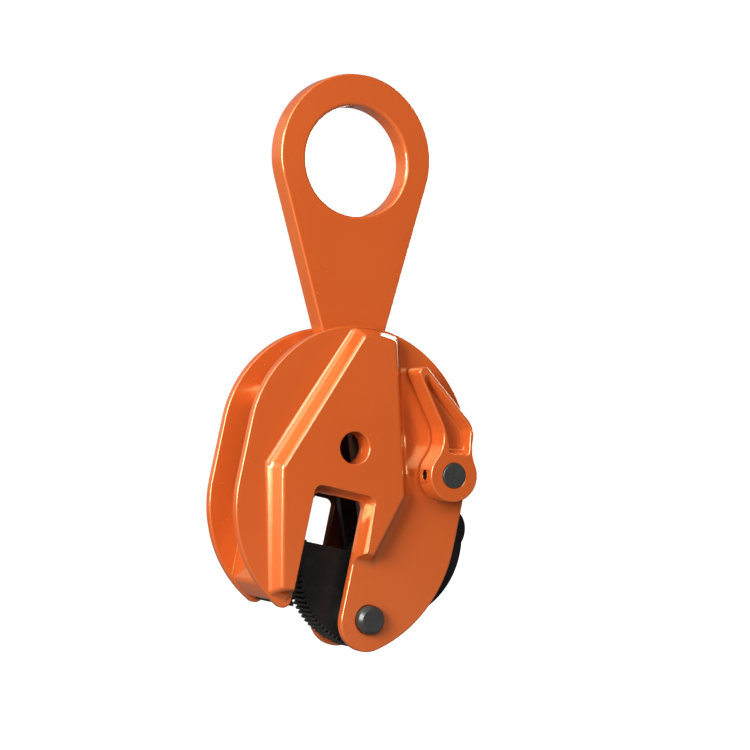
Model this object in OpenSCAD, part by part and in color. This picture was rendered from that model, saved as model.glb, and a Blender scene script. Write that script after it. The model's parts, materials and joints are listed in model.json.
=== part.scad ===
/* [Shackle] */
// Radius of the lifting eye
eye_r = 35; // [30:1:38]
// Thickness of the shackle plate
shackle_t = 16; // [12:1:18]
// Radius of the shackle's head
head_r = 52.5; // [48:0.5:58]
// Height of the head's centre above the eye's centre
head_rise = 2.5; // [0:0.5:4]
// Distance from the eye's centre to the shackle pin
shackle_len = 130; // [122:1:150]
// Radius that the shackle's sides taper to at the pin
taper_r = 14.9; // [13:0.1:17]
// Radius of the rounded end around the shackle pin
tongue_r = 20; // [17:0.5:22]
// Rounding of the eye's rims
eye_edge = 2.5; // [1:0.25:3]

/* [Housing] */
// Clear gap between the two cheeks
gap = 36; // [35:1:40]
// Thickness of each cheek
cheek_t = 6; // [5:0.5:8]
// Thickness of each reinforcing plate
plate_t = 10; // [8:0.5:12]
// Lean of the hanging housing, clockwise seen from the front
tilt = 11.85; // [5:0.05:16]
// Radius of the access hole through both sides
access_r = 10; // [8:0.5:10]
// Height of the shackle pin above the access hole
pin_h = 52; // [48:1:56]
// Radius of the cheek's upper left round
dome_left_r = 72.7; // [70:0.1:76]
// Radius of the cheek's upper right round
dome_right_r = 82.5; // [80:0.5:86]
// Offset of the cheek's top point from the slot's centre line
dome_x = 5.3; // [3:0.1:8]
// Height of the upper left round's centre
dome_z = 4.6; // [2:0.1:7]
// Radius of the cheek's lower left round
low_left_r = 78; // [74:0.5:82]
// Height of the lower left round's centre, below the access hole
low_left_z = 35; // [32:0.5:38]
// Height of the lower right round's centre, below the access hole
low_right_z = 46.6; // [44:0.2:50]
// Radius of the left leg's tip
tip_r = 5.5; // [4:0.5:7]
// Radius of the right leg's toe around the cam pin
toe_r = 18.8; // [17:0.1:20]
// Drop of the toe's centre below the cam pin
toe_drop = 1.6; // [0:0.1:2.5]

/* [Slot] */
// Distance of the slot's left edge from the centre line
slot_left = 16.5; // [15:0.5:19]
// Height of the slot's top, below the access hole
slot_top = 31; // [28:0.5:36]
// Corner radius at the slot's top
slot_corner = 5; // [3:0.5:8]
// Step from the cheek's slot to the plate's wider slot
slot_step = 4; // [2:0.5:5]
// Extra width of the rear plate's slot on its right
rear_relief = 3; // [0:0.5:3.5]

/* [Reinforcing plate] */
// Setback of the plate's top round from the cheek's edge
plate_setback = 6; // [6:0.5:9]
// Left knee of the plate, across and down
knee_left = [45, 21.5];
// Right knee of the plate, across and down
knee_right = [41, 22];
// Left foot of the plate, outer corner, across and down
foot_left = [29, 94];
// Right foot of the plate, outer corner, across and down
foot_right = [28.5, 62];
// Half width of the plate's top, left of the centre line
apex_left = 6; // [3:0.5:10]
// Half width of the plate's top, right of the centre line
apex_right = 12; // [9:0.5:15]
// Width of the weld bead on the cheek
weld_w = 8; // [4:0.5:9]

/* [Cam] */
// Thickness of the cam
cam_t = 20; // [16:1:20]
// Cam pin, across and down from the access hole
cam_pin_at = [38.3, 101.6];
// Radius of the cam pin
cam_pin_r = 9; // [8:0.5:10]
// Wall of the bush around the cam pin
bush_wall = 2.5; // [1.5:0.25:3]
// Centre of the toothed round, across and down
tooth_at = [41.85, 67.4];
// Radius of the toothed round, to the tooth tips
tooth_r = 52.9; // [51:0.1:54]
// Depth of the teeth
tooth_depth = 2; // [1.2:0.1:2.4]
// Pitch of the teeth
tooth_pitch = 3.5; // [3:0.1:4.5]
// Height of the nose's top edge, below the access hole
nose_top = 61.7; // [60:0.5:66]
// Radius of the cam's heel around its pin
heel_r = 19; // [17:0.5:20]
// Angle below level at which the back's round ends
back_end = 62; // [55:1:66]
// Centre of the back's round, across and down
back_at = [48, 48];
// Radius of the back's round
back_r = 53; // [50:0.5:55]
// Centre of the horn's tip, across and down
horn_at = [86, 35];
// Radius of the horn's tip
horn_r = 15.5; // [14:0.5:17]
// Link pin in the cam, across and down
link_at = [42, 64];
// Radius of the hump around the link pin
hump_r = 13; // [12:0.5:14]
// Radius of the link pin
link_pin_r = 7; // [6:0.5:7]
// Angle that the cam turns to open the jaw
open_angle = 50; // [45:0.5:52]
// Travel of the shackle pin while the jaw opens
travel = 30.7; // [28:0.1:32]

/* [Links] */
// Thickness of each link plate
link_t = 6; // [5:0.5:6.5]
// Half width of each link plate
link_half_w = 10; // [8:0.5:10]
// Radius of the wall around the loose upper eye
link_eye_wall = 5; // [4:0.5:6]
// Clear play between plates that slide past each other
play = 1; // [0.5:0.1:1.5]

/* [Jaw] */
// Width of the fixed jaw's pad, front to back
pad_w = 34; // [28:1:35]
// Lowest point of the pad, below the access hole
pad_low = 103; // [100:0.5:103.5]
// Height of the pad
pad_h = 42; // [38:1:43]
// Depth of the pad's grooves
pad_groove = 1.5; // [1:0.1:2]
// Left face of the jaw block, from the centre line
block_left = 40.5; // [38:0.5:43]
// Plane where pad and block meet, from the centre line
block_face = 22; // [20:0.5:24]
// Height of the block's top, below the access hole
block_top = 40; // [36:1:46]
// Radius of the pad's stem
stem_r = 7; // [5:0.5:8]
// Length of the pad's stem
stem_len = 13; // [9:0.5:15]

/* [Pins and spacers] */
// Radius of the shackle pin
shackle_pin_r = 8; // [7:0.5:8]
// Radius of the spacer rods
spacer_r = 7.3; // [6:0.1:8]
// Left spacer rod, across and up
spacer_left_at = [-46, 23.3];
// Right spacer rod, across and up
spacer_right_at = [62, 31];
// Height of the cam pin's head above the cheek
pin_proud = 6; // [4:0.5:8]
// Chamfer of the shackle pin's ends
pin_chamfer = 1; // [0.5:0.25:1.5]
// Chamfer of the cam pin's ends
cam_pin_chamfer = 2; // [1:0.25:2.5]
// Radial clearance of running fits
fit = 0.05; // [0.03:0.01:0.08]

/* [Lock lever] */
// Lever shaft, in from the cheek's right edge and down from the access hole
shaft_at = [19.8, 2.7];
// Radius of the lever shaft
shaft_r = 8; // [6.5:0.5:8]
// Radius of the lever's hub
hub_r = 16.6; // [15:0.2:18]
// Thickness of the lever
lever_t = 16.7; // [14:0.1:18]
// Clearance between the lever and the cheek
lever_lift = 1.3; // [1.2:0.1:2]
// Bend of the lever: across and up from its shaft, and radius
lever_bend = [-5.6, 25, 13.8];
// Tip of the lever: across and up from its shaft, and radius
lever_tip = [-35, 58.3, 3.6];
// Hollow above the hub's left side: direction from the shaft, and radius
lever_hollow = [151, 19.5];
// Radius of the waist between the hub and the bend
waist_r = 26; // [18:1:34]
// Depth of the finger pocket
pocket_depth = 7.5; // [5:0.5:10]
// Radius of the lever's roll pin
roll_pin_r = 2.75; // [2:0.25:3]
// Reach of the spring crank
crank_reach = 15; // [13:0.5:15]
// Direction of the spring crank at rest
crank_angle = 135; // [130:1:140]
// Turn of the lever from locked to open
lever_turn = 100; // [80:5:100]
// Radius of the tension spring
spring_r = 3.5; // [3:0.25:3.5]

/* [Hidden] */
$fn = 96;
paint = [0.81, 0.36, 0.19];
black_oxide = [0.2, 0.2, 0.19];
bronze = [0.72, 0.52, 0.3];
bright_steel = [0.66, 0.66, 0.64];
reach = 400;
clear = 0.3;
hair = 0.02;
inner_y = gap / 2;
cheek_y = inner_y + cheek_t;
plate_y = cheek_y + plate_t;
left_x = dome_x - dome_left_r;
right_x = dome_x + dome_right_r;
dome_right_z = dome_z + dome_left_r - dome_right_r;
low_left_x = left_x + low_left_r;
tip_x = -slot_left - tip_r;
tip_z = -low_left_z - sqrt(pow(low_left_r - tip_r, 2) - pow(low_left_x - tip_x, 2));
cam_pin = [cam_pin_at[0], -cam_pin_at[1]];
toe = cam_pin - [0, toe_drop];
left_tip_dir = [tip_x - low_left_x, tip_z + low_left_z] / norm([tip_x - low_left_x, tip_z + low_left_z]);
toe_from_edge = [toe[0] - right_x, toe[1] + low_right_z];
low_right_r = (pow(norm(toe_from_edge), 2) - pow(toe_r, 2)) / (-2 * (toe_from_edge[0] + toe_r));
slot_right = toe[0] - toe_r;
weld_h = plate_t * 0.97;
weld_inset = 1.5;
tooth = [tooth_at[0], -tooth_at[1]];
back = [back_at[0], -back_at[1]];
horn = [horn_at[0], -horn_at[1]];
link_pin_pos = [link_at[0], -link_at[1]];
shaft = [right_x - shaft_at[0], -shaft_at[1]];
back_low = back + back_r * [cos(back_end), -sin(back_end)];
from_pin = back_low - cam_pin;
heel_slope = atan2(from_pin[1], from_pin[0]) + asin(heel_r / norm(from_pin));
tooth_step = tooth_pitch / tooth_r * 180 / PI;
tooth_first = 180 - asin((tooth[1] + nose_top) / -tooth_r) + tooth_step / 2;
tooth_last = 262;
pad_face = tooth[0] - tooth_r - clear;
pad_top = pad_h - pad_low;
link_y0 = cam_t / 2 + play;
link_y1 = link_y0 + link_t;
link_dir = atan2(pin_h - link_pin_pos[1], -link_pin_pos[0]);
link_eye_shift = [-1.53, 1.39];
link_eye_r = shackle_pin_r + norm(link_eye_shift) + clear;
pin_end = cheek_y - clear;
block_inset = 0.4;
block_lift = 1.2;
crank_t = 6;
crank_y = 11.7;
boss_wall = 4.5;
washer_wall = 5;
washer_t = 1;
crank_hub_r = shaft_r + boss_wall;
crank_end_r = 5.5;
crank_pin_r = 4;
crank_pin_pos = shaft + crank_reach * [cos(crank_angle), sin(crank_angle)];
horn_foot = 12;
spring_pin = horn + [-2, 2];
spring_pin_r = 2.5;
spring_slot = spring_r * 2 + 1;
spring_aim = atan2(crank_pin_pos[1] - spring_pin[1], crank_pin_pos[0] - spring_pin[0]);
crank_lean = acos((crank_hub_r - crank_end_r) / crank_reach);
stop_r = 2.5;
stop_along = 5;
roll_pin_y = -cheek_y - lever_lift - lever_t * 0.45;

// Places a piece drawn around the access hole where the housing hangs
module hung() translate([0, 0, -shackle_len]) rotate([0, tilt, 0]) translate([0, 0, -pin_h]) children();

// A flat plate between two planes, drawn across and up
module plate(y0, y1) translate([0, y1, 0]) rotate([90, 0, 0]) linear_extrude(y1 - y0) children();

// A round bar along Y
module bar(at, r, y0, y1) translate([at[0], y1, at[1]]) rotate([90, 0, 0]) cylinder(r = r, h = y1 - y0);

// A round bar along Y with both ends chamfered
module pin(at, r, y0, y1, c) translate([at[0], y1, at[1]]) rotate([90, 0, 0])
  rotate_extrude() polygon([[0, 0], [r - c, 0], [r, c], [r, y1 - y0 - c], [r - c, y1 - y0], [0, y1 - y0]]);

// Two round bars joined by a plate a hair outside their outer tangents, so that the faces cross cleanly
module strap(a, ra, b, rb, y0, y1) {
  away = atan2(b[1] - a[1], b[0] - a[0]);
  lean = acos((ra - rb) / norm(b - a));
  near = ra + hair;
  far = rb + hair;
  bar(a, ra, y0, y1);
  bar(b, rb, y0, y1);
  plate(y0, y1) polygon([
    a, a + near * [cos(away + lean), sin(away + lean)], b + far * [cos(away + lean), sin(away + lean)], b,
    b + far * [cos(away - lean), sin(away - lean)], a + near * [cos(away - lean), sin(away - lean)]
  ]);
}

// The part of a disc that lies in one quarter, sides of -1 or 1
module quarter(at, r, side_x, side_z) translate(at) intersection() {
  circle(r);
  translate([min(0, side_x) * r, min(0, side_z) * r]) square(r);
}

// A slot open at the bottom with rounded top corners
module slot_shape(left, right, top, corner) {
  translate([-left, -reach]) square([left + right, reach - top - corner]);
  translate([corner - left, -top - corner]) square([left + right - 2 * corner, corner]);
  for (x = [corner - left, right - corner]) translate([x, -top - corner]) circle(corner);
}

module cheek_outline() {
  quarter([dome_x, dome_z], dome_left_r, -1, 1);
  quarter([dome_x, dome_right_z], dome_right_r, 1, 1);
  quarter([dome_x, dome_z], dome_left_r, 1, -1);
  translate([left_x, -low_left_z]) square([dome_left_r, low_left_z + dome_z]);
  translate([dome_x, -low_right_z]) square([dome_right_r, low_right_z + dome_right_z]);
  intersection() {
    translate([low_left_x, -low_left_z]) circle(low_left_r);
    translate([left_x, tip_z]) square([-slot_left - left_x, -low_left_z - tip_z]);
  }
  intersection() {
    translate([low_left_x, -low_left_z]) circle(low_left_r);
    polygon([
      [left_x, tip_z], [tip_x, tip_z], [tip_x, tip_z] + 2 * tip_r * left_tip_dir, [left_x, tip_z - 2 * tip_r]
    ]);
  }
  translate([tip_x, tip_z]) circle(tip_r);
  quarter([right_x - low_right_r, -low_right_z], low_right_r, 1, -1);
  translate(toe) circle(toe_r);
}

module cheek_slot() slot_shape(slot_left, slot_right, slot_top, slot_corner);

module guide_slot() {
  r = shackle_pin_r + fit;
  top = pin_h + clear;
  low = pin_h - travel - clear;
  translate([-r, low]) square([2 * r, top - low]);
  for (z = [low, top]) translate([0, z]) circle(r);
}

module cheek(y0, y1) color(paint) hung() difference() {
  plate(y0, y1) difference() {
    union() {
      difference() {
        cheek_outline();
        below_toe();
      }
      translate(toe) circle(toe_r);
    }
    cheek_slot();
    guide_slot();
  }
  bar([0, 0], access_r, y0 - 1, y1 + 1);
  bar(cam_pin, cam_pin_r, y0 - 1, y1 + 1);
  children();
}

// Trims the lower right round where it would run under the toe
module below_toe() {
  along = toe - [right_x - low_right_r, -low_right_z];
  polygon([[slot_right, toe[1]], toe, toe + reach * along / norm(along), [slot_right, -2 * reach]]);
}

module front_cheek() cheek(-cheek_y, -inner_y) bar(shaft, shaft_r + fit, -cheek_y - 1, 1 - inner_y);
module rear_cheek() cheek(inner_y, cheek_y);

module plate_half(side) {
  apex = side < 0 ? -apex_left : apex_right;
  knee = side < 0 ? [-knee_left[0], -knee_left[1]] : [knee_right[0], -knee_right[1]];
  foot = side < 0 ? [-foot_left[0], -foot_left[1]] : [foot_right[0], -foot_right[1]];
  top = dome_z + dome_left_r;
  polygon([[0, top], [apex, top], knee, foot, [0, foot[1]]]);
}

module plate_outline() {
  top = dome_z + dome_left_r;
  polygon([
    [-apex_left, top], [apex_right, top], [knee_right[0], -knee_right[1]], [foot_right[0], -foot_right[1]],
    [0, -foot_right[1]], [0, -foot_left[1]], [-foot_left[0], -foot_left[1]], [-knee_left[0], -knee_left[1]]
  ]);
}

module plate_round(setback) {
  intersection() {
    translate([dome_x, dome_z]) circle(dome_left_r - setback);
    translate([dome_x - reach, -low_left_z]) square(reach);
  }
  intersection() {
    translate([dome_x, dome_right_z]) circle(dome_right_r - setback);
    translate([dome_x, -low_left_z]) square(reach);
  }
  translate([-reach / 2, -reach]) square([reach, reach - low_left_z]);
}

module plate_slot(relief)
  slot_shape(slot_left + slot_step, slot_right + slot_step / 2 + relief, slot_top - slot_step, slot_corner);

module reinforcing_plate(y0, y1, relief) color(paint) hung() difference() {
  plate(y0, y1) difference() {
    intersection() {
      plate_outline();
      plate_round(plate_setback);
    }
    plate_slot(relief);
  }
  bar([0, 0], access_r, y0 - 1, y1 + 1);
}

module front_plate() reinforcing_plate(-plate_y, -cheek_y, 0);
module rear_plate() reinforcing_plate(cheek_y, plate_y, rear_relief);

// Keeps the bead inside the cheek's lower left round
module leg_room() {
  translate([low_left_x, -low_left_z]) circle(low_left_r - weld_inset, $fn = 64);
  translate([-reach, -low_left_z]) square(2 * reach);
}

// One half of the bead: it leans from the cheek up to the plate's edge
module weld_half(side, face, away) hull() {
  plate(min(face, face + away * 0.02), max(face, face + away * 0.02)) intersection() {
    offset(delta = weld_w) plate_half(side);
    plate_round(plate_setback - min(weld_w, plate_setback - weld_inset), $fn = 64);
    translate([side < 0 ? -reach : 0, tip_z]) square(reach);
    leg_room();
  }
  plate(min(face, face + away * weld_h), max(face, face + away * weld_h)) intersection() {
    plate_half(side);
    plate_round(plate_setback, $fn = 64);
  }
}

module weld(face, away, relief) color(paint) hung() difference() {
  union() {
    weld_half(-1, face, away);
    weld_half(1, face, away);
  }
  plate(min(face, face + away * plate_t) - 1, max(face, face + away * plate_t) + 1) {
    intersection() {
      plate_outline();
      plate_round(plate_setback);
    }
    plate_slot(relief);
  }
}

module front_weld() weld(-cheek_y, -1, 0);
module rear_weld() weld(cheek_y, 1, rear_relief);

module shackle() color(paint) difference() {
  union() {
    strap([0, head_rise], head_r, [0, -shackle_len], taper_r, -shackle_t / 2, shackle_t / 2);
    bar([0, -shackle_len], tongue_r, -shackle_t / 2, shackle_t / 2);
  }
  bar([0, 0], eye_r, -shackle_t, shackle_t);
  bar([0, -shackle_len], shackle_pin_r + fit, -shackle_t, shackle_t);
  for (side = [0, 180]) rotate([90, 0, side]) rotate_extrude() translate([eye_r, shackle_t / 2 - eye_edge])
    difference() {
      translate([-1, 0]) square([eye_edge + 1, eye_edge + 1]);
      translate([eye_edge, 0]) circle(eye_edge);
    }
}

module shackle_pin() color(black_oxide) hung() pin([0, pin_h], shackle_pin_r, -pin_end, pin_end, pin_chamfer);

module jaw_block() color(paint) hung() difference() {
  plate(-inner_y, inner_y) intersection() {
    translate([-block_left, -reach]) square([block_left - slot_left, reach - block_top]);
    translate([low_left_x, -low_left_z]) circle(low_left_r - block_inset);
    translate([-reach, block_lift - pad_low]) square(2 * reach);
  }
  translate([-block_face, -inner_y - 1, -reach]) cube([reach, 2 * inner_y + 2, reach + pad_top + clear]);
  translate([-block_face - stem_len - clear, 0, pad_top - pad_h / 2]) rotate([0, 90, 0])
    cylinder(r = stem_r, h = stem_len + 1 + clear);
  bar([-block_face - stem_len / 2, pad_top - pad_h / 2], roll_pin_r, -inner_y - 1, inner_y + 1);
}

module jaw_pad() color(black_oxide) hung() difference() {
  union() {
    plate(-pad_w / 2, pad_w / 2) difference() {
      translate([-block_face, pad_top - pad_h]) square([block_face + pad_face, pad_h]);
      for (z = [pad_top - tooth_pitch:-tooth_pitch:pad_top - pad_h + 1])
        translate([pad_face, z]) rotate(45) square(pad_groove * sqrt(2), center = true);
    }
    translate([-block_face - stem_len, 0, pad_top - pad_h / 2]) rotate([0, 90, 0])
      cylinder(r = stem_r, h = stem_len);
  }
  bar([-block_face - stem_len / 2, pad_top - pad_h / 2], roll_pin_r, -inner_y, inner_y);
}

module jaw_pad_pin() color(bright_steel) hung()
  bar([-block_face - stem_len / 2, pad_top - pad_h / 2], roll_pin_r, -inner_y, inner_y);

module spacer_left() color(paint) hung() bar(spacer_left_at, spacer_r, -inner_y, inner_y);
module spacer_right() color(paint) hung() bar(spacer_right_at, spacer_r, -inner_y, inner_y);

module cam_pin() color(black_oxide) hung() difference() {
  pin(cam_pin, cam_pin_r, -cheek_y - pin_proud, cheek_y + pin_proud, cam_pin_chamfer);
  translate([cam_pin[0], cheek_y + 3, cam_pin[1]]) rotate([90, 0, 0]) difference() {
    cylinder(r = cam_pin_r + 1, h = 2);
    translate([0, 0, -1]) cylinder(r = cam_pin_r - 1, h = 4);
  }
}

module cam_pin_ring() color(black_oxide) hung() plate(cheek_y + 1.1, cheek_y + 2.9) translate(cam_pin) difference() {
  circle(cam_pin_r + 3);
  circle(cam_pin_r - 1);
  translate([-3, 0]) square([6, reach]);
}

module cam_collar(y0, y1) color(bright_steel) hung() difference() {
  bar(cam_pin, cam_pin_r + bush_wall + 2.5, y0, y1);
  bar(cam_pin, cam_pin_r, -cheek_y, cheek_y);
}

module front_collar() cam_collar(-inner_y, -cam_t / 2 - clear);
module rear_collar() cam_collar(cam_t / 2 + clear, inner_y);

module lever_boss() color(paint) hung() difference() {
  bar(shaft, shaft_r + boss_wall, -inner_y, -crank_y - clear);
  bar(shaft, shaft_r + fit, -inner_y - 1, 0);
}

module lever_washer() color(bright_steel) hung() difference() {
  bar(shaft, shaft_r + washer_wall, -cheek_y - washer_t, -cheek_y);
  bar(shaft, shaft_r + fit, -cheek_y - 2 * washer_t, 1 - cheek_y);
}

module lever_stops() color(bright_steel) hung() for (turned = [0, lever_turn]) {
  side = turned == 0 ? 1 : -1;
  normal = crank_angle - turned + side * crank_lean;
  along = normal - side * 90;
  bar(shaft + (crank_hub_r + stop_r + clear) * [cos(normal), sin(normal)] + stop_along * [cos(along), sin(along)],
    stop_r, -inner_y, crank_t - crank_y);
}

module cam_outline() {
  heel = cam_pin + heel_r * [sin(heel_slope), -cos(heel_slope)];
  intersection() {
    translate(tooth) circle(tooth_r);
    translate([-reach, -reach]) square([reach + cam_pin[0], reach - nose_top]);
  }
  translate(cam_pin) circle(heel_r);
  polygon([
    [cam_pin[0], -nose_top], [cam_pin[0], cam_pin[1] - heel_r], heel, back_low, [back_low[0], -nose_top]
  ]);
  intersection() {
    translate(back) circle(back_r);
    polygon([
      [back_low[0] - 1, -reach], [back_low[0] - 1, -nose_top], [horn[0] - horn_r - horn_foot, -nose_top],
      horn + (horn_r - 1) * [cos(150), sin(150)], horn, [reach, horn[1]], [reach, back_low[1]], back_low
    ]);
  }
  translate(horn) circle(horn_r);
  translate(link_pin_pos) circle(hump_r);
}

module cam_teeth() for (a = [tooth_first:tooth_step:tooth_last]) translate(tooth) rotate(a)
  polygon([[tooth_r + 1, tooth_pitch * 0.36], [tooth_r + 1, -tooth_pitch * 0.36], [tooth_r - tooth_depth, -0.4],
    [tooth_r - tooth_depth, 0.4]]);

module toothed_cam() color(black_oxide) hung() difference() {
  plate(-cam_t / 2, cam_t / 2) difference() {
    cam_outline();
    cam_teeth();
  }
  bar(cam_pin, cam_pin_r + bush_wall, -cam_t, cam_t);
  bar(link_pin_pos, link_pin_r + fit, -cam_t, cam_t);
  bar(spring_pin, spring_pin_r, -cam_t, cam_t);
  plate(-spring_slot / 2, spring_slot / 2) {
    translate(spring_pin) circle(spring_slot);
    for (a = [spring_aim, spring_aim + open_angle / 2, spring_aim + open_angle])
      translate(spring_pin) rotate(a) translate([0, hair * 5 - spring_slot])
        square([2 * horn_r, 2 * spring_slot - hair * 10]);
  }
}

module cam_bush() color(bronze) hung() difference() {
  bar(cam_pin, cam_pin_r + bush_wall, -cam_t / 2, cam_t / 2);
  bar(cam_pin, cam_pin_r + fit, -cam_t, cam_t);
}

module spring_pin() color(bright_steel) hung() bar(spring_pin, spring_pin_r, -cam_t / 2, cam_t / 2);

module link(y0, y1) color(black_oxide) hung() difference() {
  eye = link_pin_pos + norm([link_pin_pos[0], pin_h - link_pin_pos[1]]) * [cos(link_dir), sin(link_dir)]
    + link_eye_shift[0] * [cos(link_dir), sin(link_dir)] + link_eye_shift[1] * [-sin(link_dir), cos(link_dir)];
  union() {
    strap(link_pin_pos, link_half_w, eye, link_half_w, y0, y1);
    bar(link_pin_pos, link_pin_r + link_eye_wall, y0, y1);
    bar(eye, link_eye_r + link_eye_wall, y0, y1);
  }
  bar(link_pin_pos, link_pin_r, y0 - 1, y1 + 1);
  bar(eye, link_eye_r, y0 - 1, y1 + 1);
}

module front_link() link(-link_y1, -link_y0);
module rear_link() link(link_y0, link_y1);
module link_pin() color(bright_steel) hung() bar(link_pin_pos, link_pin_r, -link_y1, link_y1);

// Centre of a round that touches two circles, on the right of the way from the first to the second
function between(a, b, r) =
  let (along = [b[0] - a[0], b[1] - a[1]], ra = a[2] + r + hair, rb = b[2] + r + hair)
    let (d = norm(along))
      let (x = (d * d + ra * ra - rb * rb) / (2 * d))
        let (y = sqrt(ra * ra - x * x))
          [a[0] + (along[0] * x + along[1] * y) / d, a[1] + (along[1] * x - along[0] * y) / d, -r];

// Circles that the lever's outline runs round, as across, up and radius: below 0 where it bends in
function lever_path() = [
  [0, 0, hub_r],
  between([0, 0, hub_r], lever_bend, waist_r),
  lever_bend,
  lever_tip,
  concat((hub_r + lever_hollow[1] + hair) * [cos(lever_hollow[0]), sin(lever_hollow[0])], -lever_hollow[1])
];

// Heading of the line that leaves one circle and meets the next
function heading(a, b) =
  atan2(b[1] - a[1], b[0] - a[0]) + asin((a[2] - b[2]) / norm([b[0] - a[0], b[1] - a[1]]));

function turn_to(from, to, side) =
  side * (((to - from) * side) % 360 + (((to - from) * side) % 360 < 0 ? 360 : 0));

// Outline through the tangents and rounds of a path of circles
function run_round(path) = [
  for (i = [0:len(path) - 1])
    let (last = path[(i + len(path) - 1) % len(path)], next = path[(i + 1) % len(path)], here = path[i])
      let (start = heading(last, here), sweep = turn_to(start, heading(here, next), sign(here[2])))
        let (steps = ceil(abs(sweep) / 10))
          for (k = [0:steps])
            [here[0] + here[2] * sin(start + sweep * k / steps), here[1] - here[2] * cos(start + sweep * k / steps)]
];

// Circles that the finger pocket spans at its rim and at its floor
function pocket_rim() = [
  [-31.9, 55.2, 2.2], [-10.7, 29.4, 2.2], [-0.6, 28.2, 6], [4.6, 16.6, 2.5], [-4.4, 15.3, 2.2]
];
function pocket_floor() = [
  [-27.7, 49.6, 1.2], [-9.4, 28.6, 1.6], [-2.4, 26.2, 5], [4.6, 19, 2], [-3.4, 18, 1.6]
];

module pocket_part(face, corners) hull() for (i = corners) {
  top = pocket_rim()[i];
  low = pocket_floor()[i];
  bar(shaft + [top[0], top[1]], top[2], face - 1, face, $fn = 32);
  bar(shaft + [low[0], low[1]], low[2], face + pocket_depth - 0.1, face + pocket_depth, $fn = 32);
}

// The roll pin lies level through the hub while the clamp hangs
module roll_pin_place() translate([shaft[0], roll_pin_y, shaft[1]]) rotate([0, 90 - tilt, 0]) children();

module lock_lever() color(paint) hung() difference() {
  front = -cheek_y - lever_lift - lever_t;
  plate(front, front + lever_t) translate(shaft) polygon(run_round(lever_path()));
  pocket_part(front, [0, 1, 2]);
  pocket_part(front, [1, 2, 3, 4]);
  bar(shaft, shaft_r, front - 1, -cheek_y);
  roll_pin_place() cylinder(r = roll_pin_r, h = 3 * hub_r, center = true);
}

module lever_shaft() color(black_oxide) hung() difference() {
  pin(shaft, shaft_r, -cheek_y - lever_lift - lever_t - 0.5, crank_t - crank_y, pin_chamfer / 2);
  roll_pin_place() cylinder(r = roll_pin_r, h = 3 * hub_r, center = true);
}

module lever_roll_pin() color(black_oxide) hung() roll_pin_place() difference() {
  cylinder(r = roll_pin_r, h = 2 * hub_r - 6, center = true);
  cylinder(r = roll_pin_r - 1, h = 3 * hub_r, center = true);
}

module spring_crank() color(black_oxide) hung() {
  difference() {
    strap(shaft, crank_hub_r, crank_pin_pos, crank_end_r, -crank_y, crank_t - crank_y);
    bar(shaft, shaft_r, -crank_y - 1, 0);
  }
  bar(crank_pin_pos, crank_pin_r, crank_t - crank_y - 0.5, spring_r + 1.5);
}

module tension_spring() color(bright_steel) hung() {
  along = crank_pin_pos - spring_pin;
  turn = 90 - atan2(along[1], along[0]);
  translate([spring_pin[0], 0, spring_pin[1]]) rotate([0, turn, 0]) {
    translate([0, 0, spring_pin_r + 4]) difference() {
      cylinder(r = spring_r, h = norm(along) - crank_pin_r - spring_pin_r - 8);
      translate([0, 0, -1]) cylinder(r = spring_r - 1.2, h = norm(along));
    }
  }
}

shackle();
shackle_pin();
front_cheek();
rear_cheek();
front_plate();
rear_plate();
front_weld();
rear_weld();
jaw_block();
jaw_pad();
jaw_pad_pin();
spacer_left();
spacer_right();
cam_pin();
cam_pin_ring();
front_collar();
rear_collar();
lever_boss();
lever_washer();
lever_stops();
toothed_cam();
cam_bush();
spring_pin();
front_link();
rear_link();
link_pin();
lock_lever();
lever_shaft();
lever_roll_pin();
spring_crank();
tension_spring();
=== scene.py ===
import json
import math
import bpy
import bmesh
from mathutils import Matrix, Vector


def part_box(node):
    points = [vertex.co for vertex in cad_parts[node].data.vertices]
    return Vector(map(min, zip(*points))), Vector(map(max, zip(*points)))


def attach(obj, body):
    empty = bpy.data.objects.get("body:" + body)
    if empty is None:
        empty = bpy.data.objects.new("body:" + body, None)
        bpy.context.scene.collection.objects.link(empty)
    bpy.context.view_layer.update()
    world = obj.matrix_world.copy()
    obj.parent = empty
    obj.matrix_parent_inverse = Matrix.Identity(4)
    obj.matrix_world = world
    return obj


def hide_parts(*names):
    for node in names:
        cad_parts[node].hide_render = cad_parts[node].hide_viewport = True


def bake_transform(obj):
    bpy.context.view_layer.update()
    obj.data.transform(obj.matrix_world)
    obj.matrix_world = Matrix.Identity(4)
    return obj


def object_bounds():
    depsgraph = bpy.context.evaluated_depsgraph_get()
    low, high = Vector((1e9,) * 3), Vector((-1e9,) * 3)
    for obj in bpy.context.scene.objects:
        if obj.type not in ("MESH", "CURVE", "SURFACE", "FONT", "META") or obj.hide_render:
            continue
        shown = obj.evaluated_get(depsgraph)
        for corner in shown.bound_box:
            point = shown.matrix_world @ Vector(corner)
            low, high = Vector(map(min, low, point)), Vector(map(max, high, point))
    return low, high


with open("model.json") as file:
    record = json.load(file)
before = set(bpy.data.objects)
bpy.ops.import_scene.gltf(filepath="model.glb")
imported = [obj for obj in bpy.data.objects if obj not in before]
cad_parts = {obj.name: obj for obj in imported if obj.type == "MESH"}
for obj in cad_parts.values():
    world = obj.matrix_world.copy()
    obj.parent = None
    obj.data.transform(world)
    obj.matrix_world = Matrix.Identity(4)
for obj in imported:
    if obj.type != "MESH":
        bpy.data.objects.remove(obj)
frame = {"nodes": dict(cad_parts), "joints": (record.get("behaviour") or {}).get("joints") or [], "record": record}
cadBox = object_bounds()
nodes = frame["nodes"]
record = frame["record"]
mm = 0.001
touching = 0.01 * mm         # what is nearer than this touches
jointAt = {joint["name"]: joint for joint in frame["joints"]}
slotOf = {part["node"]: part["material_slot"] for part in record["subparts"]}
bodyOf = {node: body for body, members in record["behaviour"]["bodies"].items() for node in members}


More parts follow.
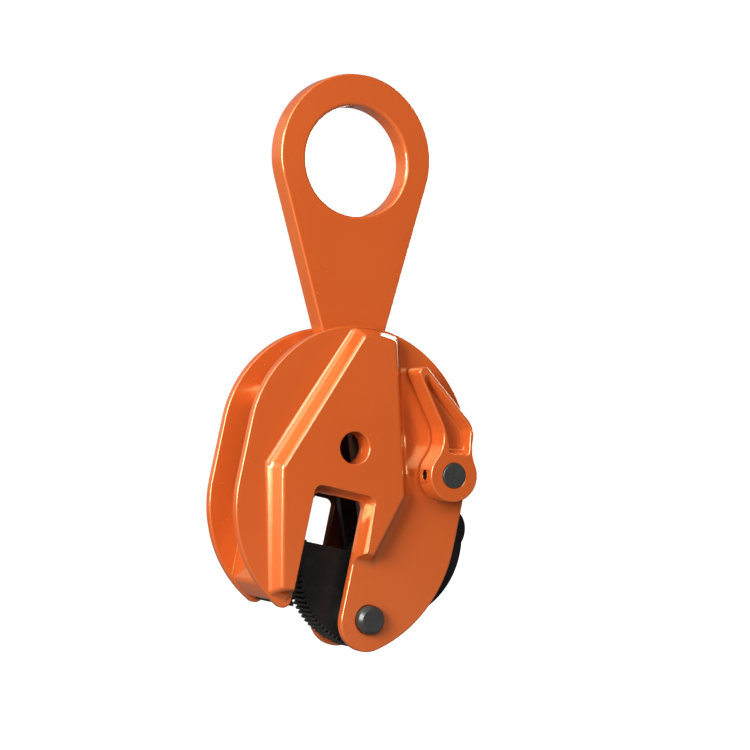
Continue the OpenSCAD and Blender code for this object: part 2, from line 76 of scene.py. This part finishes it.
def centreOf(node):
    low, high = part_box(node)
    return (low + high) / 2


# Camera, at the photograph's angle and framing
camera = {
    "turnLeft": 27,          # degrees to the left of the front
    "lean": -1.15,           # degrees that it is turned about the lifting eye's axis
    "distance": 1.370,
    "lens": 103.68,
    "sensor": 36,
    "clipEnd": 20,
    "framePixels": 750,
    "horizonRow": 404,       # row that the camera's level line falls on
    "eyePixel": (351.5, 162),
}


def aimCamera(spec):
    half = spec["framePixels"] / 2
    pixel = spec["distance"] / (spec["lens"] / spec["sensor"] * spec["framePixels"])
    turn = math.radians(spec["turnLeft"])
    ahead = Vector((math.sin(turn), math.cos(turn), 0))
    right = Vector((math.cos(turn), -math.sin(turn), 0))
    up = Vector((0, 0, 1))
    across = (spec["eyePixel"][0] - half) * pixel
    rise = (spec["horizonRow"] - spec["eyePixel"][1]) * pixel
    place = -(ahead * spec["distance"] + right * across + up * rise)
    lean = Matrix.Rotation(math.radians(spec["lean"]), 4, "Y")
    axes = Matrix((right, up, -ahead)).transposed().to_4x4()
    data = bpy.data.cameras.new("camera")
    data.lens = spec["lens"]
    data.sensor_width = spec["sensor"]
    data.shift_y = (spec["horizonRow"] - half) / spec["framePixels"]
    data.clip_end = spec["clipEnd"]
    thing = bpy.data.objects.new("camera", data)
    bpy.context.scene.collection.objects.link(thing)
    thing.matrix_world = lean @ Matrix.Translation(place) @ axes
    bpy.context.scene.camera = thing


aimCamera(camera)
print("camera placed")


# A socket's value, which can be reckoned with like a number
class Value:
    def __init__(self, finish, socket):
        self.finish = finish
        self.socket = socket

    def calc(self, operation, first, second):
        return self.finish.add("ShaderNodeMath", {"operation": operation}, {0: first, 1: second})[0]

    def __add__(self, other):
        return self.calc("ADD", self, other)

    def __radd__(self, other):
        return self.calc("ADD", other, self)

    def __sub__(self, other):
        return self.calc("SUBTRACT", self, other)

    def __rsub__(self, other):
        return self.calc("SUBTRACT", other, self)

    def __mul__(self, other):
        return self.calc("MULTIPLY", self, other)

    def __rmul__(self, other):
        return self.calc("MULTIPLY", other, self)

    def __pow__(self, other):
        return self.calc("POWER", self, other)

    def __rpow__(self, other):
        return self.calc("POWER", other, self)

    def clamp(self):
        return self.finish.add("ShaderNodeClamp", {}, {"Value": self})[0]


class Outputs:
    def __init__(self, finish, node):
        self.finish = finish
        self.node = node

    def __getitem__(self, key):
        return Value(self.finish, self.node.outputs[key])


# The nodes of a new material, or of the world where that is given
class Finish:
    def __init__(self, name, world=None):
        self.material = world or bpy.data.materials.new(name)
        self.material.use_nodes = True
        self.tree = self.material.node_tree
        if world:
            return
        self.surface = self.tree.nodes["Principled BSDF"]
        self.end = self.tree.nodes["Material Output"]

    def give(self, socket, value):
        if isinstance(value, Value):
            self.tree.links.new(value.socket, socket)
        else:
            socket.default_value = value

    def add(self, kind, settings, inputs):
        node = self.tree.nodes.new(kind)
        for key, value in settings.items():
            setattr(node, key, value)
        for key, value in inputs.items():
            self.give(node.inputs[key], value)
        return Outputs(self, node)

    def coat(self, **values):
        for key, value in values.items():
            self.give(self.surface.inputs[key.replace("_", " ")], value)

    def here(self):
        return self.add("ShaderNodeTexCoord", {}, {})["Object"]

    def noise(self, place, scale, detail, roughness=0.5):
        values = {"Vector": place, "Scale": scale, "Detail": detail, "Roughness": roughness}
        return self.add("ShaderNodeTexNoise", {}, values)["Fac"]

    # From 0 at one amount to 1 at the other, and level beyond them
    def ramp(self, amount, zeroAt, oneAt):
        values = {"Value": amount, "From Min": zeroAt, "From Max": oneAt}
        return self.add("ShaderNodeMapRange", {"clamp": True}, values)[0]

    def blendColour(self, share, one, two):
        return self.add("ShaderNodeMix", {"data_type": "RGBA"}, {0: share, 6: one, 7: two})[2]

    def bump(self, height, strength, depth):
        values = {"Height": height, "Strength": strength, "Distance": depth}
        return self.add("ShaderNodeBump", {}, values)["Normal"]


def rgb(red, green, blue):
    def linear(part):
        part = part / 255
        return part / 12.92 if part <= 0.04045 else ((part + 0.055) / 1.055) ** 2.4
    return (linear(red), linear(green), linear(blue), 1)


# Painted shade: a dark film over the paint inside the housing, round one spot between the cheeks, and in the
# lever's roll pin hole, where shade falls
paintedShade = {
    "colour": rgb(34, 14, 14),
    "cover": 0.95,
    "across": 16 * mm,
    "up": -224 * mm,
    "reach": 33 * mm,
    "fade": 6 * mm,
    "ragged": 4 * mm,
    "front": (-17.8 * mm, -17.4 * mm),   # begins just behind the front cheek
    "rear": (23.8 * mm, 23.4 * mm),      # ends inside the rear cheek's slot
    "hole": (3.05 * mm, 2.95 * mm),      # the roll pin hole's edge, out from its middle
    "holeEnds": (0.0005, 0.0004),        # square of the way along the hole, in square metres
}


# Where the paint is painted dark as shade: round the spot between the cheeks, and down the roll pin hole
def paintedShadeMask(finish, place, fine):
    spot = finish.add("ShaderNodeSeparateXYZ", {}, {"Vector": place})
    across, up = spot["X"] - paintedShade["across"], spot["Z"] - paintedShade["up"]
    away = (across * across + up * up) ** 0.5 + (fine - 0.5) * paintedShade["ragged"]
    shadedSpot = finish.ramp(away, paintedShade["reach"] + paintedShade["fade"], paintedShade["reach"])
    inside = finish.ramp(spot["Y"], *paintedShade["front"]) * finish.ramp(spot["Y"], *paintedShade["rear"])
    pin = centreOf("lever_roll_pin")
    along, deep, high = spot["X"] - pin.x, spot["Y"] - pin.y, spot["Z"] - pin.z
    hole = finish.ramp((deep * deep + high * high) ** 0.5, *paintedShade["hole"])
    return (shadedSpot * inside + hole * finish.ramp(along ** 2, *paintedShade["holeEnds"])).clamp()


paintLook = {
    "body": rgb(206, 90, 38),
    "thin": rgb(202, 86, 34),
    "dust": rgb(212, 106, 54),
    "dustCover": 0.12,
    "roughness": 0.16,
    "patches": 0.12,         # how much the roughness wanders
    "dustRoughness": 0.1,
    "rippleDepth": 0.12 * mm,
    "rippleStrength": 0.35,
    "fineRipple": 0.25,
    "ior": 1.8,
    "glossLevel": 1.0,
    "glossTint": (1.0, 0.92, 0.55, 1),
}


def orangePaint():
    finish = Finish("orangePaint")
    place = finish.here()
    broad = finish.noise(place, scale=9, detail=3)
    ripple = finish.noise(place, scale=260, detail=2)
    fine = finish.noise(place, scale=900, detail=3, roughness=0.6)
    speck = finish.ramp(finish.noise(place, scale=420, detail=1), zeroAt=0.71, oneAt=0.78)
    thin = finish.ramp(broad, zeroAt=0.35, oneAt=0.65)
    body = finish.blendColour(thin, paintLook["body"], paintLook["thin"])
    unevenness = (broad - 0.5) * paintLook["patches"] + speck * paintLook["dustRoughness"]
    height = ripple + fine * paintLook["fineRipple"]
    finish.coat(
        Base_Color=finish.blendColour(speck * paintLook["dustCover"], body, paintLook["dust"]),
        Roughness=unevenness + paintLook["roughness"],
        IOR=paintLook["ior"],
        Specular_IOR_Level=paintLook["glossLevel"],
        Specular_Tint=paintLook["glossTint"],
        Coat_Weight=0.0,
        Normal=finish.bump(height, paintLook["rippleStrength"], paintLook["rippleDepth"]),
    )
    # The painted shade: a dark matte film mixed over the paint inside the housing and in the roll pin hole
    shadeFilm = finish.add("ShaderNodeBsdfDiffuse", {}, {"Color": paintedShade["colour"]})
    paint = Value(finish, finish.surface.outputs["BSDF"])
    share = paintedShadeMask(finish, place, fine) * paintedShade["cover"]
    both = finish.add("ShaderNodeMixShader", {}, {0: share, 1: paint, 2: shadeFilm[0]})
    finish.give(finish.end.inputs["Surface"], both[0])
    return finish.material


# Blackened steel, on the toothed cam and the small parts; a darker, reddish copy on the links as painted shade
# between the cheeks, and a lighter copy on the pins, rubbed like the rest, as painted light on their ends
oxideLooks = {
    "blackOxide": {
        "low": rgb(20, 19, 20),
        "high": rgb(31, 30, 30),
        "rubbed": rgb(66, 65, 63),
        "metallic": 0.35,
        "roughness": 0.42,
    },
    # Painted shade: the links get a darker, reddish black than the blackened steel, as the shade between the
    # cheeks
    "linkBlackPaintedShade": {
        "low": rgb(20, 10, 11),
        "high": rgb(26, 13, 14),
        "rubbed": rgb(34, 24, 24),
        "metallic": 0.0,
        "roughness": 0.42,
    },
    # Painted light: the pins' blackened steel is made a lighter grey, as the light falling on their ends
    "pinBlackPaintedLight": {
        "low": rgb(62, 62, 62),
        "high": rgb(76, 76, 75),
        "rubbed": rgb(104, 103, 100),
        "metallic": 0.45,
        "roughness": 0.3,
    },
}
oxideSurface = {
    "rubbedCover": 0.4,
    "rubbedRoughness": 0.05,
    "grainRoughness": 0.25,
    "grainStrength": 0.3,
    "grainDepth": 0.06 * mm,
}


def blackOxide(name):
    look = oxideLooks[name]
    finish = Finish(name)
    place = finish.here()
    broad = finish.noise(place, scale=30, detail=4)
    grain = finish.noise(place, scale=700, detail=4, roughness=0.65)
    rubbed = finish.ramp(finish.noise(place, scale=90, detail=5, roughness=0.7), zeroAt=0.56, oneAt=0.75)
    dark = finish.blendColour(finish.ramp(broad, zeroAt=0.3, oneAt=0.7), look["low"], look["high"])
    unevenness = (grain - 0.5) * oxideSurface["grainRoughness"] + rubbed * oxideSurface["rubbedRoughness"]
    finish.coat(
        Base_Color=finish.blendColour(rubbed * oxideSurface["rubbedCover"], dark, look["rubbed"]),
        Metallic=look["metallic"],
        Roughness=unevenness + look["roughness"],
        Normal=finish.bump(grain, oxideSurface["grainStrength"], oxideSurface["grainDepth"]),
    )
    return finish.material


steelLook = {
    "dull": rgb(150, 148, 142),
    "bright": rgb(186, 184, 178),
    "metallic": 0.9,
    "roughness": 0.28,
    "cloudRoughness": 0.2,
    "grainStrength": 0.2,
    "grainDepth": 0.03 * mm,
}


def zincSteel():
    finish = Finish("zincSteel")
    place = finish.here()
    cloud = finish.noise(place, scale=60, detail=4)
    grain = finish.noise(place, scale=1200, detail=2)
    finish.coat(
        Base_Color=finish.blendColour(cloud, steelLook["dull"], steelLook["bright"]),
        Metallic=steelLook["metallic"],
        Roughness=(cloud - 0.5) * steelLook["cloudRoughness"] + steelLook["roughness"],
        Normal=finish.bump(grain, steelLook["grainStrength"], steelLook["grainDepth"]),
    )
    return finish.material


bronzeLook = {
    "pores": rgb(150, 104, 54),
    "skin": rgb(196, 146, 84),
    "metallic": 0.85,
    "roughness": 0.35,
    "poreRoughness": 0.3,
    "poreStrength": 0.3,
    "poreDepth": 0.04 * mm,
}


def bronzeBush():
    finish = Finish("bronzeBush")
    pores = finish.noise(finish.here(), scale=900, detail=3)
    finish.coat(
        Base_Color=finish.blendColour(pores, bronzeLook["pores"], bronzeLook["skin"]),
        Metallic=bronzeLook["metallic"],
        Roughness=(pores - 0.5) * bronzeLook["poreRoughness"] + bronzeLook["roughness"],
        Normal=finish.bump(pores, bronzeLook["poreStrength"], bronzeLook["poreDepth"]),
    )
    return finish.material


finishes = {
    "orange_paint": orangePaint(),
    "black_oxide": blackOxide("blackOxide"),
    "link_black_painted_shade": blackOxide("linkBlackPaintedShade"),
    "pin_black_painted_light": blackOxide("pinBlackPaintedLight"),
    "bright_steel": zincSteel(),
    "bronze": bronzeBush(),
}
# Nodes that don't simply have the finish of their slot
ownFinish = dict.fromkeys(["front_link", "rear_link", "link_pin"], "link_black_painted_shade")
ownFinish |= dict.fromkeys(["cam_pin", "lever_shaft", "lever_roll_pin"], "pin_black_painted_light")
print("finishes made")


def finishOf(node):
    return finishes[ownFinish.get(node, slotOf[node])]


# The housing hangs at a slant, so its places are told in mm from the round hole in its plates
holeBelowPin = 52
upHousing = Vector(jointAt["shackle_travel"]["axis"]).normalized()
acrossHousing = Vector((0, 1, 0)).cross(upHousing)
accessHole = centreOf("shackle_pin") - upHousing * holeBelowPin * mm


def inHousing(place):
    away = place - accessHole
    return Vector((away.dot(acrossHousing), away.dot(upHousing))) / mm


def fromHousing(across, out, up):
    return accessHole + (acrossHousing * across + upHousing * up + Vector((0, out, 0))) * mm


# Nodes with holes: a plane is cut through each hole, so that the flat sides become faces without
# holes. Here is the plane's normal, with the nodes whose centres it passes through.
holeCuts = {
    "shackle": (Vector((1, 0, 0)), ["shackle"]),
    "front_cheek": (acrossHousing, ["shackle_pin", "cam_pin", "lever_shaft"]),
    "rear_cheek": (acrossHousing, ["shackle_pin", "cam_pin"]),
    "front_plate": (acrossHousing, ["shackle_pin"]),
    "rear_plate": (acrossHousing, ["shackle_pin"]),
    "toothed_cam": (acrossHousing, ["cam_pin", "link_pin", "spring_pin"]),
    "front_link": (upHousing, ["link_pin", "shackle_pin"]),
    "rear_link": (upHousing, ["link_pin", "shackle_pin"]),
    "lock_lever": (upHousing, ["lever_shaft", "lock_lever"]),
    "spring_crank": (upHousing, ["lever_shaft"]),
}
cleaning = {
    "join": 0.002 * mm,      # points within this become one
    "looseJoin": 0.045 * mm,
    "looseNodes": ["shackle", "front_link", "rear_link"],
    "onPlane": 0.001 * mm,
    "flatWithin": 0.5,       # degrees between faces that become one
}


# A copy of a node's loose triangles, merged into whole faces
def mergedMesh(node):
    mesh = bmesh.new()
    mesh.from_mesh(nodes[node].data)
    join = cleaning["looseJoin" if node in cleaning["looseNodes"] else "join"]
    bmesh.ops.remove_doubles(mesh, verts=mesh.verts, dist=join)
    normal, through = holeCuts.get(node, (None, []))
    for pin in through:
        cut = bmesh.ops.bisect_plane(
            mesh,
            geom=list(mesh.verts) + list(mesh.edges) + list(mesh.faces),
            dist=cleaning["onPlane"],
            plane_co=centreOf(pin),
            plane_no=normal,
        )
        for edge in cut["geom_cut"]:
            if isinstance(edge, bmesh.types.BMEdge):
                edge.seam = True
    bmesh.ops.dissolve_limit(
        mesh,
        angle_limit=math.radians(cleaning["flatWithin"]),
        use_dissolve_boundaries=False,
        verts=mesh.verts,
        edges=mesh.edges,
        delimit={"SEAM"},
    )
    return mesh


def makePiece(name, mesh, finish, body=None):
    data = bpy.data.meshes.new(name)
    mesh.to_mesh(data)
    mesh.free()
    data.materials.append(finish)
    data.polygons.foreach_set("use_smooth", [True] * len(data.polygons))
    piece = bpy.data.objects.new(name, data)
    bpy.context.scene.collection.objects.link(piece)
    if body:
        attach(piece, body)
    return piece


roundedEdges = {
    "segments": 3,
    "weldedSegments": 4,
    "sharperThan": 30,       # degrees
    "faceWeight": 100,
}


# Rounds the sharp edges, or where chosen is given, those with a bevel weight
def roundEdges(piece, width, segments, chosen=False):
    bevel = piece.modifiers.new("roundedEdges", "BEVEL")
    bevel.width = width
    bevel.segments = segments
    bevel.limit_method = "WEIGHT" if chosen else "ANGLE"
    bevel.angle_limit = math.radians(roundedEdges["sharperThan"])
    bevel.use_clamp_overlap = False
    bevel.miter_outer = "MITER_ARC"
    flat = piece.modifiers.new("flatFaces", "WEIGHTED_NORMAL")
    flat.keep_sharp = True
    flat.weight = roundedEdges["faceWeight"]


# Width of the rounded edge on each plate and pin
roundedParts = {
    "shackle": 1.4 * mm,
    "front_cheek": 1.1 * mm,
    "rear_cheek": 1.1 * mm,
    "jaw_block": 2.0 * mm,
    "jaw_pad": 0.25 * mm,
    "toothed_cam": 0.3 * mm,
    "front_link": 0.6 * mm,
    "rear_link": 0.6 * mm,
    "lock_lever": 0.85 * mm,
    "cam_pin": 0.15 * mm,
    "lever_shaft": 0.3 * mm,
    "spring_crank": 0.6 * mm,
}


def dressRounded():
    for node, width in roundedParts.items():
        piece = makePiece(node + "_rounded", mergedMesh(node), finishOf(node), bodyOf[node])
        roundEdges(piece, width, roundedEdges["segments"])
        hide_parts(node)


# The reinforcing plate with its weld: sloped sides that run out softly on the cheek. Places are in
# mm in the housing, and an edge's turn is in radians.
slopedSides = {
    # Out from the plate's edge and down from its face
    "rings": [(3.0, 6.8), (3.7, 7.8), (4.65, 8.7), (5.85, 9.4), (7.0, 9.8), (8.0, 10.0)],
    "rounding": 2.0 * mm,
    "openingShare": 0.45,    # share of that rounding round the slot and the hole
    "groundShare": 0.12,     # and on the edges of the ground flat
    "groundFlat": 1.9 * mm,  # width of the flat that is ground along the slot's right edge
    "groundLean": -1.0,      # it runs where the slot's wall leans in by more than this
    "slotLeft": -20.5,
    "slotTop": -27.0,
    "slotCorner": 5.0,
    "slotMargin": 0.2,
    "rightWallBeyond": 10.0,
    "cheekSlotRight": 19.5,
    "holeReach": 11,
    "plateDepth": 10.0,
    "footMargin": 0.1,
    "faceTurn": 0.4,
    "slopeTurn": 0.35,
    "sharpTurn": 0.7,
    "sameWall": 0.9995,      # cosine between the normals of one wall's faces
    "facingOut": 0.9,        # part of a flat side's normal that points along Y, at least
    "facingAside": 0.1,      # and of a wall's, at most
}
slotRight = {"front_plate": 21.5, "rear_plate": 24.5}
# Rounds of the cheek's edge that the weld keeps inside: centre and reach
cheekRounds = {"low": ((10.6, -35.0), 76.9), "left": ((5.3, 4.6), 71.4), "right": ((5.3, -5.2), 81.2)}


def atSlot(spot, plateNode):
    margin = slopedSides["slotMargin"]
    beside = slopedSides["slotLeft"] - margin < spot.x < slotRight[plateNode] + margin
    return beside and spot.y < slopedSides["slotTop"] + margin


def atOpening(spot, plateNode):
    return spot.length < slopedSides["holeReach"] or atSlot(spot, plateNode)


def atFace(edge, faceY):
    return all(abs(vert.co.y - faceY) < touching for vert in edge.verts)


def atFoot(edge, faceY):
    depth = (slopedSides["plateDepth"] - slopedSides["footMargin"]) * mm
    return all(abs(vert.co.y - faceY) > depth for vert in edge.verts)


def middleOf(edge):
    return inHousing((edge.verts[0].co + edge.verts[1].co) / 2)


def keptOnCheek(spot):
    if spot.y < cheekRounds["low"][0][1]:
        place, reach = cheekRounds["low"]
    elif spot.x < cheekRounds["left"][0][0]:
        place, reach = cheekRounds["left"]
    else:
        place, reach = cheekRounds["right"]
    away = spot - Vector(place)
    return Vector(place) + away * min(1.0, reach / away.length)


# How far the slot's right wall leans in at its foot, so that it ends flush with the cheek's slot
def leanOfSlot(spot, plateNode):
    inHole = spot.length < slopedSides["holeReach"]
    if spot.x < slopedSides["rightWallBeyond"] or inHole or not atSlot(spot, plateNode):
        return 0.0
    share = min(1.0, max(0.0, (slopedSides["slotTop"] - spot.y) / slopedSides["slotCorner"]))
    return (slopedSides["cheekSlotRight"] - slotRight[plateNode]) * share


# The way in which a corner moves so that each wall beside it moves out by 1, or stays at an opening
def outwardShift(wallFaces, plateNode):
    walls = []
    for face in wallFaces:
        normal = Vector((face.normal.dot(acrossHousing), face.normal.dot(upHousing))).normalized()
        reach = 0.0 if atOpening(inHousing(face.calc_center_median()), plateNode) else 1.0
        if all(normal.dot(wall[0]) < slopedSides["sameWall"] for wall in walls):
            walls.append((normal, reach))
    if len(walls) == 1:
        return walls[0][0] * walls[0][1]
    (one, oneReach), (two, twoReach) = walls[:2]
    span = one.x * two.y - one.y * two.x
    return Vector((oneReach * two.y - twoReach * one.y, twoReach * one.x - oneReach * two.x)) / span


def cornersOf(faces):
    return {vert for face in faces for vert in face.verts}


# Notes at each corner of the plate's back where it starts, how far it leans and which way it moves
def markCorners(base, plateNode, start, shift):
    for corner in cornersOf(base):
        walls = [face for face in corner.link_faces if abs(face.normal.y) < slopedSides["facingAside"]]
        move = outwardShift(walls, plateNode)
        spot = inHousing(corner.co)
        corner[start] = (spot.x, spot.y, leanOfSlot(spot, plateNode))
        corner[shift] = (move.x, move.y, 0.0)


def growSlopes(mesh, base, faceY, side, start, shift):
    for number, (out, down) in enumerate(slopedSides["rings"]):
        if number:
            grown = bmesh.ops.extrude_face_region(mesh, geom=base)
            bmesh.ops.delete(mesh, geom=base, context="FACES_ONLY")
            base = [item for item in grown["geom"] if isinstance(item, bmesh.types.BMFace)]
        for corner in cornersOf(base):
            across, up, lean = corner[start]
            spot = keptOnCheek(Vector((across, up)) + Vector(corner[shift][:2]) * out)
            spot.x += lean * down / slopedSides["plateDepth"]
            corner.co = fromHousing(spot.x, 0, spot.y)
            corner.co.y = faceY - side * down * mm


def grindFlat(mesh, plateNode, faceY):
    chosen = []
    straightBelow = slopedSides["slotTop"] - slopedSides["slotCorner"]
    for edge in mesh.edges:
        middle = middleOf(edge)
        leaning = leanOfSlot(middle, plateNode) < slopedSides["groundLean"]
        sharp = edge.calc_face_angle(0.0) > slopedSides["sharpTurn"]
        if atFace(edge, faceY) and middle.y < straightBelow and leaning and sharp:
            chosen.append(edge)
    cut = bmesh.ops.bevel(
        mesh,
        geom=chosen,
        offset=slopedSides["groundFlat"],
        offset_type="OFFSET",
        segments=1,
        profile=0.5,
        affect="EDGES",
        material=-1,
    )
    return {edge for face in cut["faces"] for edge in face.edges}


# Says how far each edge is rounded. But for the ground flat, the opening's edges have one share all
# round, as the rounding would cross itself in the slot's corner where the share jumps.
def weighEdges(mesh, ground, plateNode, faceY, rounding):
    for edge in mesh.edges:
        turn = edge.calc_face_angle(0.0)
        opening = atOpening(middleOf(edge), plateNode)
        if edge in ground:
            edge[rounding] = slopedSides["groundShare"]
        elif atFace(edge, faceY) and turn > slopedSides["faceTurn"]:
            edge[rounding] = slopedSides["openingShare"] if opening else 1.0
        elif turn > slopedSides["slopeTurn"] and not opening and not atFoot(edge, faceY):
            edge[rounding] = 1.0
        elif turn > slopedSides["sharpTurn"]:
            edge.smooth = False


def makeReinforcement(side, plateNode, weldNode):
    mesh = mergedMesh(plateNode)
    low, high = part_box(plateNode)
    faceY = high.y if side > 0 else low.y
    start = mesh.verts.layers.float_vector.new("start")
    shift = mesh.verts.layers.float_vector.new("outward")
    rounding = mesh.edges.layers.float.new("bevel_weight_edge")
    base = [face for face in mesh.faces if face.normal.y * side < -slopedSides["facingOut"]]
    markCorners(base, plateNode, start, shift)
    growSlopes(mesh, base, faceY, side, start, shift)
    bmesh.ops.recalc_face_normals(mesh, faces=mesh.faces)
    mesh.normal_update()
    ground = grindFlat(mesh, plateNode, faceY)
    mesh.normal_update()
    weighEdges(mesh, ground, plateNode, faceY, rounding)
    piece = makePiece(plateNode + "_welded", mesh, finishes["orange_paint"], "housing")
    roundEdges(piece, slopedSides["rounding"], roundedEdges["weldedSegments"], chosen=True)
    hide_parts(plateNode, weldNode)


# The tension spring: a close coil with an eye round the cam's pin and one round the crank's
spring = {
    "wire": 0.7 * mm,        # half of the wire's thickness
    "gap": 0.15 * mm,        # between turns
    "endRoom": 4.0 * mm,     # from the coil's end to the pin's side
    "crankPin": 4.0 * mm,
    "sides": 10,
    "steps": 20,             # points round one turn
    "eyeSteps": 32,
    "bendFrom": 0.6,         # share of the coil's half, above its middle, where it starts to stretch
}


def wireCircle(mesh, place, out, side, cap):
    turned = Matrix((out, side, out.cross(side))).transposed().to_4x4()
    turned.translation = place
    return bmesh.ops.create_circle(
        mesh, cap_ends=cap, segments=spring["sides"], radius=spring["wire"], matrix=turned
    )["verts"]


def partsOf(verts, faces):
    found = set(verts) | {edge for vert in verts for edge in vert.link_edges}
    return list(found | ({face for vert in verts for face in vert.link_faces} if faces else set()))


def addCoil(mesh, foot, along, across, length, radius):
    turns = int(length / (2 * spring["wire"] + spring["gap"]))
    verts = wireCircle(mesh, foot + across * radius, across, along, True)
    bmesh.ops.spin(
        mesh,
        geom=partsOf(verts, True),
        cent=foot,
        axis=along,
        dvec=along * (length / (turns * spring["steps"])),
        angle=math.tau * turns,
        steps=turns * spring["steps"],
    )


# An eye round a pin, with a straight neck that ends in the coil
def addEye(mesh, pin, pinRadius, across, coilEnd, coilRadius):
    eye = pinRadius + spring["wire"] + spring["gap"]
    toCoil = (coilEnd - pin).normalized()
    start, stop = pin + toCoil * eye, coilEnd + toCoil * coilRadius
    verts = wireCircle(mesh, start, toCoil, across, False)
    bmesh.ops.spin(
        mesh,
        geom=partsOf(verts, False),
        cent=pin,
        axis=across,
        angle=math.tau,
        steps=spring["eyeSteps"],
        use_merge=True,
    )
    upright = toCoil.to_track_quat("Z", "Y").to_matrix().to_4x4()
    upright.translation = (start + stop) / 2
    bmesh.ops.create_cone(
        mesh,
        cap_ends=True,
        segments=spring["sides"],
        radius1=spring["wire"],
        radius2=spring["wire"],
        depth=(stop - start).length,
        matrix=upright,
    )


def makeSpring():
    mesh = bmesh.new()
    camPin = centreOf("spring_pin")
    middle = centreOf("tension_spring")
    camPin.y = middle.y
    along = (middle - camPin).normalized()
    across = Vector((0, 1, 0))
    low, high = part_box("tension_spring")
    half = max((vert.co - middle).dot(along) for vert in nodes["tension_spring"].data.vertices)
    radius = (high.y - low.y) / 2 - spring["wire"]
    foot, top = middle - along * half, middle + along * half
    crankPin = middle + along * (half + spring["endRoom"] + spring["crankPin"])
    addCoil(mesh, foot, along, across, 2 * half, radius)
    addEye(mesh, camPin, (foot - camPin).length - spring["endRoom"], across, foot, radius)
    addEye(mesh, crankPin, spring["crankPin"], across, top, radius)
    bmesh.ops.recalc_face_normals(mesh, faces=mesh.faces)
    piece = makePiece("coil_spring", mesh, finishes["bright_steel"])
    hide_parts("tension_spring")
    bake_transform(piece)


# The source's own solids, which show wherever no piece above replaces them
def dressPlain():
    for node, solid in nodes.items():
        solid.data.materials.clear()
        solid.data.materials.append(finishOf(node))


dressPlain()
dressRounded()
print("cheeks, jaw, cam and lever dressed")
makeReinforcement(-1, "front_plate", "front_weld")
makeReinforcement(1, "rear_plate", "rear_weld")
print("reinforcing plates welded on")
makeSpring()
print("spring wound")


stage = {
    "floorDrop": 0.03,       # gap under the hanging clamp
    "floorSize": 60.0,
    "floorGlow": 1.0,        # as the camera sees it; it lights nothing
    "floorShade": (0.16, 0.15, 0.15, 1),
    "skyOnPart": 0.15,
    "skyInGloss": 0.04,
    "backdropInGloss": 0.25,
    "backdropRearward": (0.55, 0.85),    # where the backdrop sets in, in a ray's way to the rear
    "backdropUpward": (0.02, 0.1),       # and up
}


def straightRays(rays):
    return (rays["Is Camera Ray"] + rays["Is Transmission Ray"]).clamp()


def floorWhite():
    finish = Finish("floorWhite")
    rays = finish.add("ShaderNodeLightPath", {}, {})
    strength = straightRays(rays) * stage["floorGlow"]
    matte = finish.add("ShaderNodeBsdfDiffuse", {}, {"Color": stage["floorShade"]})
    light = finish.add("ShaderNodeEmission", {}, {"Color": (1, 1, 1, 1), "Strength": strength})
    both = finish.add("ShaderNodeAddShader", {}, {0: matte[0], 1: light[0]})
    finish.give(finish.end.inputs["Surface"], both[0])
    return finish.material


def makeFloor():
    low, high = cadBox
    mesh = bmesh.new()
    bmesh.ops.create_grid(mesh, x_segments=2, y_segments=2, size=stage["floorSize"] / 2)
    bmesh.ops.translate(mesh, verts=mesh.verts, vec=(0, 0, low.z - stage["floorDrop"]))
    data = bpy.data.meshes.new("floor")
    mesh.to_mesh(data)
    mesh.free()
    data.materials.append(floorWhite())
    floor = bpy.data.objects.new("floor", data)
    bpy.context.scene.collection.objects.link(floor)


# The room: white to the camera, dim on the part, and in the gloss dark but for the backdrop
def makeWorld():
    world = bpy.data.worlds.new("studio")
    bpy.context.scene.world = world
    room = Finish("studio", world)
    rays = room.add("ShaderNodeLightPath", {}, {})
    way = room.add("ShaderNodeTexCoord", {}, {})["Generated"]
    way = room.add("ShaderNodeSeparateXYZ", {}, {"Vector": way})
    backdrop = room.ramp(way["Y"], *stage["backdropRearward"]) * room.ramp(way["Z"], *stage["backdropUpward"])
    gloss = backdrop * stage["backdropInGloss"] + (stage["skyInGloss"] - stage["skyOnPart"])
    seen = straightRays(rays) * (1.0 - stage["skyOnPart"])
    back = room.tree.nodes["Background"]
    back.inputs["Color"].default_value = (1, 1, 1, 1)
    room.give(back.inputs["Strength"], seen + rays["Is Glossy Ray"] * gloss + stage["skyOnPart"])


# Softboxes: where each stands, how large it is, how bright and of what colour
lamps = {
    "keySoftbox": {"at": (-1.25, -0.74, 0.2), "size": (0.55, 0.85), "watts": 28, "tint": (0.94, 1.0, 0.98)},
    "widePanel": {"at": (-1.35, -0.75, 0.35), "size": (1.2, 2.1), "watts": 13, "tint": (0.88, 1.0, 0.8)},
    "leftPanel": {"at": (-1.45, 0.26, 0.1), "size": (1.5, 1.4), "watts": 5, "tint": (0.8, 1.0, 0.75)},
    "sidePanel": {"at": (-0.75, 1.3, 0.0), "size": (1.2, 1.4), "watts": 1.0, "tint": (0.85, 1.0, 0.75)},
    "rearSoftbox": {"at": (1.4, 1.5, 0.45), "size": (1.2, 1.2), "watts": 40},
    "rightSoftbox": {"at": (1.6, 0.6, 0.3), "size": (1.0, 1.2), "watts": 14},
    "frontSoftbox": {"at": (-0.4, -1.9, 0.8), "size": (1.2, 1.0), "watts": 17},
    "topSoftbox": {"at": (-0.2, -0.3, 1.2), "size": (0.9, 0.9), "watts": 2},
}
lampsAimAt = Vector((0, 0, -0.16))


def lightStudio():
    for name, spec in lamps.items():
        data = bpy.data.lights.new(name, "AREA")
        data.shape = "RECTANGLE"
        data.size, data.size_y = spec["size"]
        data.energy = spec["watts"]
        data.color = spec.get("tint", (1, 1, 1))
        lamp = bpy.data.objects.new(name, data)
        bpy.context.scene.collection.objects.link(lamp)
        lamp.location = spec["at"]
        lamp.rotation_euler = (lampsAimAt - Vector(spec["at"])).to_track_quat("-Z", "Y").to_euler()


makeFloor()
makeWorld()
lightStudio()
bpy.context.scene.view_settings.view_transform = "Standard"
print("stage lit")

bpy.context.view_layer.update()
